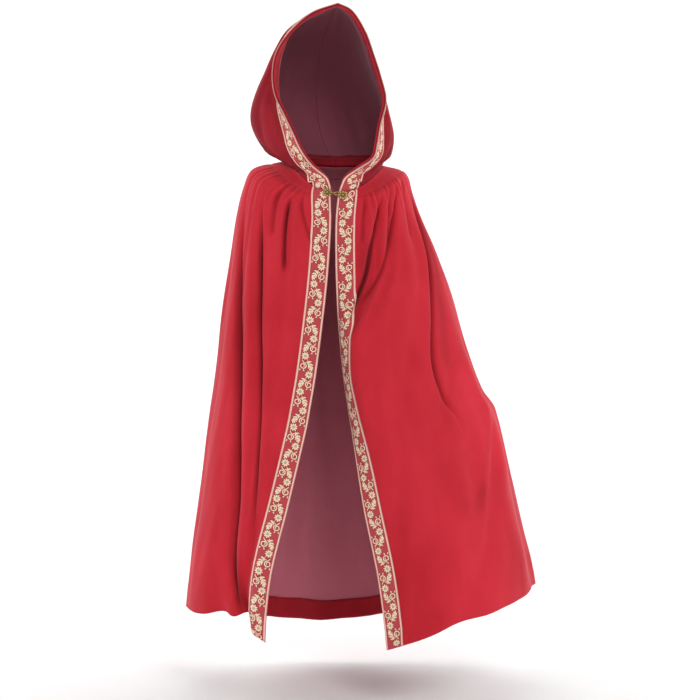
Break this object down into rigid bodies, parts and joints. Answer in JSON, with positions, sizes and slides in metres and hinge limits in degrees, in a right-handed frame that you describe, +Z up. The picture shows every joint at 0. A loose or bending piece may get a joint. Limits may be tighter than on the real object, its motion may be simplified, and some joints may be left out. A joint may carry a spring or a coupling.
{
  "type": "hooded cape",
  "caption": "Child's full-length hooded cape, gathered to a yoke, ribbon-trimmed and closed at the neck with a hook-and-eye clasp; stored as worn.",
  "frame": {"origin": "centre of the wearer's neck at the level of the hood seam", "axes": "+Z up, -Y out of the front opening, +X to the right as seen from the front"},
  "size_m": [0.5375, 0.3833, 0.9733],
  "materials": {
    "velvet": "soft short-pile red velvet with a dusty rose wrong side",
    "hem": "turned-up velvet, deep red",
    "ribbon": "woven jacquard ribbon, cream flowers and leaves on dull red",
    "clasp": "aged antique brass"
  },
  "bodies": {
    "root": {"yoke": "velvet", "front_left": "velvet", "back": "velvet", "front_right": "velvet", "hem_left": "hem", "hem_back": "hem", "hem_right": "hem", "hood_left": "velvet", "hood_right": "velvet", "hood_facing": "velvet", "trim_left": "ribbon", "trim_right": "ribbon", "trim_hood": "ribbon", "clasp_left": "clasp", "clasp_right": "clasp"}
  },
  "joints": []
}
